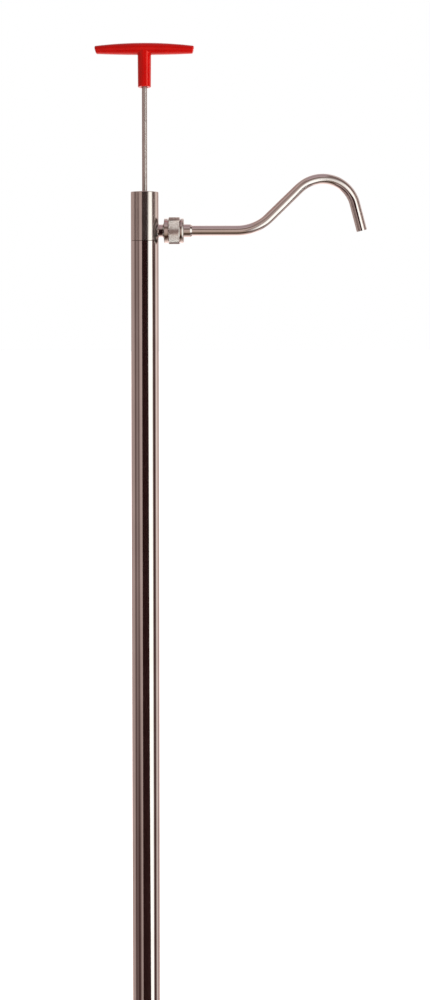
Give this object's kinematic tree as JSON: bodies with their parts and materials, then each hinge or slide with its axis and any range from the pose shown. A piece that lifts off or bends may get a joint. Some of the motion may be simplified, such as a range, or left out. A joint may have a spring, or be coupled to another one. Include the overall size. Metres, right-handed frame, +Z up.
{
  "type": "hand drum pump",
  "caption": "Lift-type hand pump for drums: steel immersion tube with foot valve and piston inside, T-handle on a rod, and a swivelling gooseneck spout held by a union nut.",
  "frame": {"origin": "centre of the immersion tube's open foot, on the tube's axis", "axes": "+Z up along the tube towards the handle, +X from the tube to the spout"},
  "size_m": [0.3153, 0.032, 1.1791],
  "materials": {
    "polished_steel": "polished stainless steel",
    "satin_steel": "turned, satin stainless steel",
    "red_plastic": "moulded, glossy",
    "white_ptfe": "machined PTFE",
    "black_rubber": "moulded rubber",
    "brass": "turned"
  },
  "bodies": {
    "barrel": {"immersion_tube": "polished_steel", "head_body": "satin_steel", "head_o_ring": "black_rubber", "outlet_nipple": "polished_steel", "guide_bush": "white_ptfe", "rod_packing": "white_ptfe", "gland_nut": "satin_steel", "foot_valve_body": "satin_steel", "foot_o_ring": "black_rubber", "ball_stop_pin": "polished_steel", "outlet_seal": "white_ptfe"},
    "seal_carrier": {"piston_seal": "white_ptfe", "seal_spring_ring": "black_rubber"},
    "plunger": {"piston_rod": "polished_steel", "t_handle": "red_plastic", "handle_insert": "brass", "stop_collar": "satin_steel", "collar_pin": "polished_steel", "valve_retainer": "satin_steel", "valve_spacer": "satin_steel", "piston_body": "satin_steel", "piston_washer": "satin_steel", "piston_nut": "satin_steel"},
    "piston_disc": {"piston_valve": "white_ptfe"},
    "valve_ball": {"foot_ball": "polished_steel"},
    "spout": {"spout_tube": "polished_steel", "spout_ferrule": "polished_steel"},
    "slip_ring": {"thrust_ring": "satin_steel"},
    "hand_nut": {"union_nut": "satin_steel"}
  },
  "joints": [
    {"name": "plunger_slide", "type": "slide", "parent": "barrel", "child": "seal_carrier", "axis": [0, 0, 1], "range_m": [-0.118, 0.195]},
    {"name": "plunger_turn", "type": "hinge", "parent": "seal_carrier", "child": "plunger", "pos_m": [0, 0, 1], "axis": [0, 0, 1], "continuous": true},
    {"name": "piston_valve_lift", "type": "slide", "parent": "plunger", "child": "piston_disc", "axis": [0, 0, 1], "range_m": [0, 0.003]},
    {"name": "foot_ball_lift", "type": "slide", "parent": "barrel", "child": "valve_ball", "axis": [0, 0, 1], "range_m": [0, 0.005]},
    {"name": "spout_swivel", "type": "hinge", "parent": "barrel", "child": "spout", "pos_m": [0.0381, 0, 0.9614], "axis": [1, 0, 0], "continuous": true},
    {"name": "nut_advance", "type": "slide", "parent": "barrel", "child": "slip_ring", "axis": [1, 0, 0], "range_m": [0, 0.00726]},
    {"name": "nut_turn", "type": "hinge", "parent": "slip_ring", "child": "hand_nut", "pos_m": [0.0339, 0, 0.9614], "axis": [1, 0, 0], "range_deg": [0, 1440]}
  ],
  "couplings": [
    {"joint": "nut_advance", "follows": "nut_turn", "m_per_rad": 0.00028871}
  ]
}
